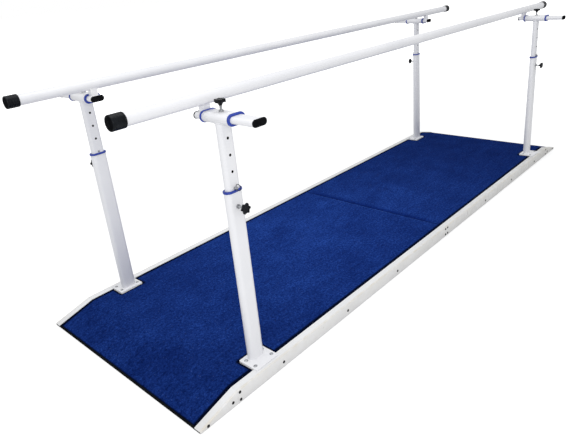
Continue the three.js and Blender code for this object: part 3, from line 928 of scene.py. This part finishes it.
# Each body's pieces at a corner: name, mesh, materials, slot, and the CAD node it stands for
CORNER_PIECES = {
    "base": [
        ("post_tube", POST_TUBE, PAINT, "white_paint", "outer_post"),
        ("base_plate", BASE_PLATE, PAINT, "white_paint", None),
        ("plate_packer", PACKER, PAINT, "white_paint", None),
        ("post_weld", POST_WELD, PAINT, "white_paint", None),
        ("plate_bolts", PLATE_BOLTS, ZINC, "steel", None),
        ("height_nut", HEIGHT_NUT, ZINC, "steel", None),
        ("post_collar", COLLAR, BLUE, "blue_plastic", "collar"),
    ],
    "{side}_uprights": [
        ("upright_tube", upright_tube(), (PAINT, PAINTED_SHADE_INSIDE), "white_paint", "upright"),
        ("cross_sleeve", SLEEVE, PAINT, "white_paint", None),
        ("sleeve_weld", SLEEVE_WELD, PAINT, "white_paint", None),
        ("width_nut", WIDTH_NUT, ZINC, "steel", None),
        ("sleeve_inner_bushing", INNER_BUSHING, BLUE, "blue_plastic", "inner_bushing"),
        ("sleeve_outer_bushing", OUTER_BUSHING, BLUE, "blue_plastic", "outer_bushing"),
    ],
    "{side}_hand_bar": [
        ("arm_tube", ARM_TUBE, PAINT, "white_paint", "arm"),
        ("inner_plug", INNER_PLUG, (BLACK, RUBBER), "black_plastic", None),
        ("outer_plug", OUTER_PLUG, (BLACK, RUBBER), "black_plastic", "arm_plug"),
        ("saddle", saddle(), PAINT, "white_paint", None),
        ("saddle_welds", SADDLE_WELDS, PAINT, "white_paint", None),
    ],
    "{corner}_height_knob": [
        ("height_grip", HEIGHT_GRIP, BLACK, "black_plastic", "height_knob"),
        ("height_stud", HEIGHT_STUD, ZINC, "steel", None),
    ],
    "{corner}_width_knob": [
        ("width_grip", WIDTH_GRIP, BLACK, "black_plastic", "width_knob"),
        ("width_stud", WIDTH_STUD, ZINC, "steel", None),
    ],
    "{corner}_ring_pin": [
        ("pin_shank", PIN, ZINC, "steel", "ring_pin"),
        ("pull_ring", pull_ring(), WIRE, "steel", None),
    ],
}

for corner, end, side, side_name in CORNERS:
    at = shift(end * POST_X, side * POST_Y)
    if side < 0:
        at = at @ Matrix.Rotation(math.pi, 4, "Z")
    for body, rows in CORNER_PIECES.items():
        body = body.format(side=side_name, corner=corner)
        for name, mesh, materials, slot, node in rows:
            nodes = [f"{node}_{corner}"] if node else []
            piece(f"{name}_{corner}", mesh, materials, body, slot, at, nodes)


# Hand bars and their caps


def bar_profile(steps=24):
    """The bar's tube with softened ends, as radius and place along X."""
    straight = BAR_END - 0.5
    bore = BAR_RADIUS - BAR_WALL
    return [
        (BAR_RADIUS - 0.4, -BAR_END),
        *[(BAR_RADIUS, -straight + 2 * straight * i / steps) for i in range(steps + 1)],
        (BAR_RADIUS - 0.4, BAR_END), (bore, BAR_END), (bore, -BAR_END),
    ]


def cap_profile():
    """A cap from its bore over its grooved side to its recessed end, as radius and place."""
    profile = [(BAR_RADIUS + 0.2, BAR_END + 0.2), (BAR_RADIUS + 0.2, CAP_MOUTH + 1.0)]
    mouth = ((19.6, 0.0), (20.9, 0.0), (21.5, 0.5), (21.6, 1.4), (21.6, 3.2))
    groove = ((21.0, 0.8), (20.85, 1.5), (21.0, 2.2), (21.6, 3.0), (21.6, 8.2))
    end = (
        (21.5, 1.8), (21.0, 0.8), (19.9, 0.2), (18.4, 0.0), (16.8, 0.2), (16.2, 0.8), (6.0, 0.9),
        (5.6, 1.2), (0.4, 1.2),
    )
    profile += [(radius, CAP_MOUTH + at) for radius, at in mouth]
    for k in range(CAP_RIBS):
        start = CAP_MOUTH + mouth[-1][1] + k * CAP_RIB_PITCH
        profile += [(radius, start + at) for radius, at in groove]
    return profile + [(radius, HALF_LENGTH - at) for radius, at in end]


for side_name, side in SIDES.items():
    body = f"{side_name}_hand_bar"
    axis = (side * (POST_Y + BAR_Y), BAR_Z)
    tube = turned(bar_profile(), "x", axis, closed=True, count=72)
    nodes = [f"hand_bar_{side_name}"]
    piece(f"bar_tube_{side_name}", tube, PAINT, body, "white_paint", None, nodes)
    for end_name, end in ENDS.items():
        corner = f"{end_name}_{side_name}"
        profile = [(radius, end * x) for radius, x in cap_profile()]
        cap = faced(turned(profile, "x", axis, count=72, crease=34.0), 0)
        nodes = [f"bar_cap_{corner}"]
        piece(f"cap_{corner}", cap, (BLACK, RUBBER), body, "black_plastic", None, nodes)


# Platform edging


def ramp_top(x, level=RAIL_TOP):
    """The edging's height, or another level's, which falls along the ramp."""
    return level - (RAIL_TOP - NOSE_TOP) * max(0.0, (x - KNEE_X) / (HALF_LENGTH - KNEE_X))


def edge_section(top):
    """The L-shaped section of a rail or cheek in the plane across the platform, at +Y."""
    w, inner = HALF_WIDTH, HALF_WIDTH - SHEET
    return fillet([
        (w, 0.0, 0.7), (w, top - 4.5, 0), (w, top, 3.2), (w - 9.0, top, 0),
        (w - FLANGE, top, 1.1), (w - FLANGE, top - SHEET, 0.7), (inner, top - SHEET, 0.8),
        (inner, 0.0, 0.7),
    ])


def edge_piece(stations, soft=0.4):
    """A rail or cheek with softened ends. Its upper outer corner is marked for a tan band."""
    first, last = stations[0], stations[-1]
    rings = [
        lift(inset(edge_section(ramp_top(first)), soft), first, "x"),
        *[
            lift(edge_section(ramp_top(x)), x, "x")
            for x in (first + soft, *stations[1:-1], last - soft)
        ],
        lift(inset(edge_section(ramp_top(last)), soft), last, "x"),
    ]
    # Marks a tan band along the upper outer corner.
    worn = [
        0.55 * shade(math.hypot(HALF_WIDTH - 2.0 - y, ramp_top(x) - z), 2.5, 6.5)
        for ring in rings for x, y, z in ring
    ]
    return marked(loft(rings, crease=32.0), corner=worn)


def screw():
    """A low screw head with a cross recess, on the outer face at +Y."""
    head = turned(
        [(5.2, -0.2), (5.2, 0.3), (5.0, 0.75), (4.3, 1.15), (2.9, 1.45), (1.4, 1.55), (0.2, 1.58)],
        "y", (0, 0), count=28,
    )
    long, short, deep = (-2.6, 2.6), (-0.5, 0.5), (0.7, 3.0)
    slots = [slab(x, deep, z, 0.05, 0.1) for x, z in ((long, short), (short, long))]
    return moved(bored(head, slots), shift(0, HALF_WIDTH, 0))


def behind_joint(x, top, extra=0.0):
    """A plate behind the edging's web."""
    outer = HALF_WIDTH - SHEET - GAP
    return slab(x, (outer - SHEET, outer + extra), (4.0, top), 0.4, 1.0)


RAIL = edge_piece([JOINT_GAP, 300.0, 600.0, 900.0, 1200.0, KNEE_X - JOINT_GAP])
CHEEK = edge_piece([KNEE_X + JOINT_GAP, 1400.0, 1450.0, HALF_LENGTH])
SCREW = screw()
SCREW_PLACES = [
    *[(x, DECK_SCREW_Z) for x in (435.0, 784.5, 1141.5)],
    *[(x, z) for x in (10.0, 1339.0) for z in PLATE_SCREW_LEVELS],
    (1370.0, 19.2), (1470.0, ramp_top(1470.0) / 2),
]
SCREWS = join(*[moved(SCREW, shift(x, 0, z)) for x, z in SCREW_PLACES])
JOINT_PLATES = join(
    behind_joint((1318.0, 1346.0), 41.0), behind_joint((1346.2, 1378.0), 33.0, 0.2),
)
SPLICE_PLATE = behind_joint((-30.0, 30.0), 41.0)

for corner, end, side, side_name in CORNERS:
    at = Matrix.Diagonal((end, side, 1, 1))
    for name, mesh, material, slot, nodes in (
        ("edge_rail", RAIL, EDGING, "white_paint", [f"rail_{corner}"]),
        ("edge_cheek", CHEEK, EDGING, "white_paint", [f"ramp_cheek_{corner}"]),
        ("joint_plate", JOINT_PLATES, EDGING, "white_paint", []),
        ("rail_screws", SCREWS, DARK_STEEL, "steel", []),
    ):
        piece(f"{name}_{corner}", mesh, material, "base", slot, at, nodes)
for side_name, side in SIDES.items():
    at = Matrix.Diagonal((1, side, 1, 1))
    piece(f"splice_plate_{side_name}", SPLICE_PLATE, EDGING, "base", "white_paint", at)


# Carpets


def spaced(marks, step, margin=18.0):
    """Grid lines through every mark, closer together near each one."""
    lines = set()
    for a, b in zip(marks, marks[1:]):
        lines.add(a)
        for near in (0.5, 1.1, 1.9, 3.0, 4.5, 6.5, 9.0, 12.0, 15.0, margin):
            if near * 2 < b - a:
                lines.add(a + near)
                lines.add(b - near)
        low, high = a + margin, b - margin
        if high - low > step:
            count = round((high - low) / step)
            lines.update(low + (high - low) * i / count for i in range(1, count))
    lines.add(marks[-1])
    return sorted(lines)


def rolled(distance, radius):
    """How far an edge rolls down at a distance inside it."""
    if distance >= radius:
        return 0.0
    return radius - math.sqrt(max(0.0, radius ** 2 - (radius - distance) ** 2))


def carpet(end):
    """A carpet's upper face, crowned between the flanges and cut out round the base plates.

    Its outer strips lie lower, under the flanges. Its points are marked with painted shade along
    its edges, and with painted shade and light beside the seam: 0.5 is plain, less darker, more
    paler.
    """
    edge_y = HALF_WIDTH - FLANGE
    notch_x = (POST_X - PLATE_HALF - NOTCH_GAP, POST_X + PLATE_HALF + NOTCH_GAP)
    notch_y = POST_Y + PLATE_INNER - NOTCH_GAP

    def cut_out(x, across):
        return notch_x[0] < x < notch_x[1] and notch_y < across < edge_y

    xs = spaced([CARPET_START, *notch_x, KNEE_X, CARPET_END], CARPET_CELL)
    ys = spaced([-CARPET_REACH, -edge_y, -notch_y, notch_y, edge_y, CARPET_REACH], CARPET_CELL)
    index, points, borders, seam_shading = {}, [], [], []
    for i, x in enumerate(xs):
        for j, y in enumerate(ys):
            across = abs(y)
            if cut_out(x, across):
                continue
            to_notch = math.hypot(
                max(notch_x[0] - x, x - notch_x[1], 0.0), max(notch_y - across, 0.0),
            )
            to_seam, to_nose, to_flange = x - CARPET_START, CARPET_END - x, edge_y - across
            soft = noise.fractal(Vector((end * x, y, 5.0)) / 90.0, 1.0, 2.0, 3) * 0.45
            soft += noise.noise(Vector((end * x, y, 1.0)) / 14.0) * 0.25
            crown = CARPET_CROWN * min(1.0, (CARPET_END - x) / (CARPET_END - KNEE_X))
            if to_flange > 0:
                z = ramp_top(x, CARPET_TOP) + crown - 0.4 + min(0.4, soft)
                z -= rolled(to_seam, 1.6) + rolled(to_nose, 2.2)
                z -= rolled(to_notch, 3.0) + rolled(to_flange, 3.4)
            else:
                z = ramp_top(x, CARPET_TOP) - 1.5 - rolled(to_seam, 2.5)
            index[i, j] = len(points)
            points.append((end * x, y, z))
            # Painted shade at the flanges, the base plates' cut-outs, the nose and the joint.
            borders.append(max(
                shade(to_notch, 6.0, 12.0), shade(to_flange, 12.0, 18.0),
                0.9 * shade(to_nose, 1.0, 6.0), 0.6 * shade(to_seam, 1.0, 4.0),
            ))
            # Painted shade on the far carpet beside the seam, painted light on the near carpet.
            seam_shade_and_light = shade(to_seam, 12.0, 38.0) if end > 0 else -0.8 * shade(to_seam, 5.0, 15.0)
            seam_shading.append(0.5 - 0.5 * seam_shade_and_light * shade(across, 330.0, 420.0))
    faces = []
    for i in range(len(xs) - 1):
        for j in range(len(ys) - 1):
            if not cut_out((xs[i] + xs[i + 1]) / 2, abs(ys[j] + ys[j + 1]) / 2):
                faces.append((index[i, j], index[i + 1, j], index[i + 1, j + 1], index[i, j + 1]))
    mesh = marked(solid(points, faces, 60.0), border=borders, seam=seam_shading)
    if sum(face.normal.z for face in mesh.polygons) < 0:
        mesh.flip_normals()
    return mesh


for end_name, end in ENDS.items():
    nodes = [f"carpet_{end_name}"]
    cover = piece(f"carpet_cover_{end_name}", carpet(end), CARPET, "base", "carpet", None, nodes)
    modify(cover, "thickness", "SOLIDIFY", thickness=CARPET_DEPTH * MM, offset=-1.0)
    refinish(frame["nodes"][f"deck_{end_name}"], PLYWOOD)
    nose = frame["nodes"][f"nosing_{end_name}"]
    refinish(nose, RUBBER)
    modify(nose, "weld", "WELD", merge_threshold=0.01 * MM)
    modify(nose, "soften", "BEVEL", width=1.2 * MM, segments=3)


# Floor, light and camera, in metres

FLOOR_RADIUS = 60.0
FLOOR_Z = -0.0004
LENS = 33.881
SENSOR = 36.0
LENS_SHIFT = (-0.01289, -0.04965)
CAMERA_PLACE = (-2.12816, -1.52858, 1.19999)
CAMERA_AXES = (
    (0.66739, -0.73931, -0.08955), (0.32860, 0.18444, 0.92628), (-0.66829, -0.64762, 0.36603),
)


def floor():
    """A pale disc that the camera sees fading to white away from the object."""
    disc = bpy.data.meshes.new("floor")
    points = [(x, y, FLOOR_Z) for x, y in circle(FLOOR_RADIUS, 96)]
    disc.from_pydata(points, [], [tuple(range(len(points)))])
    material = bpy.data.materials.new("studio_floor")
    tree = fresh_tree(material)
    diffuse = add(tree, "BsdfDiffuse", {"Color": (0.82, 0.82, 0.82)})
    place = add(tree, "TexCoord").outputs["Object"]
    away = add(tree, "VectorMath", {0: place}, operation="LENGTH").outputs["Value"]
    paler = add(tree, "MapRange", {
        "Value": away, "From Min": 1.8, "From Max": 4.5, "To Min": 0.36, "To Max": 1.0,
    }).outputs["Result"]
    seen = add(tree, "LightPath").outputs["Is Camera Ray"]
    level = add(tree, "Math", {0: seen, 1: paler}, operation="MULTIPLY").outputs["Value"]
    glow = add(tree, "Emission", {"Strength": level}).outputs["Emission"]
    both = add(tree, "AddShader", {0: diffuse.outputs["BSDF"], 1: glow})
    add(tree, "OutputMaterial", {"Surface": both.outputs["Shader"]})
    disc.materials.append(material)
    linked("floor", disc)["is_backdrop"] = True


def world():
    """White to the camera, and a dimmer white light on the object."""
    sky = bpy.data.worlds.new("studio")
    tree = fresh_tree(sky)
    light = add(tree, "Background", {"Color": (0.98, 0.99, 1.0), "Strength": 0.74})
    seen = add(tree, "Background", {"Color": (1.0, 1.0, 1.0), "Strength": 1.0})
    mix = add(tree, "MixShader", {
        0: add(tree, "LightPath").outputs["Is Camera Ray"],
        1: light.outputs["Background"], 2: seen.outputs["Background"],
    })
    add(tree, "OutputWorld", {"Surface": mix.outputs["Shader"]})
    bpy.context.scene.world = sky


def area_light(name, place, target, size, power):
    data = bpy.data.lights.new(name, "AREA")
    data.shape = "RECTANGLE"
    data.size, data.size_y = size
    data.energy = power
    lamp = linked(name, data)
    lamp.location = place
    aim = Vector(target) - Vector(place)
    lamp.rotation_euler = aim.to_track_quat("-Z", "Y").to_euler()


def camera():
    """The photograph's camera, as solved. Its axes point right, up and back."""
    data = bpy.data.cameras.new("camera")
    data.sensor_width = SENSOR
    data.lens = LENS
    data.shift_x, data.shift_y = LENS_SHIFT
    data.clip_start, data.clip_end = 0.05, 200.0
    item = linked("camera", data)
    turn = Matrix(CAMERA_AXES).transposed().to_4x4()
    item.matrix_world = Matrix.Translation(CAMERA_PLACE) @ turn
    bpy.context.scene.camera = item


floor()
world()
area_light("overhead", (-0.9, -0.1, 3.4), (-0.6, 0.05, 0.0), (2.4, 1.8), 27.0)
area_light("front", (-2.6, -2.0, 1.5), (-0.8, 0.0, 0.6), (1.4, 1.0), 18.0)
camera()

scene = bpy.context.scene
scene.view_settings.view_transform = "Standard"

visual_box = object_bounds()
boxes = {"cad": cad_box, "visual": visual_box}
{name: [list(corner) for corner in box] for name, box in boxes.items()}
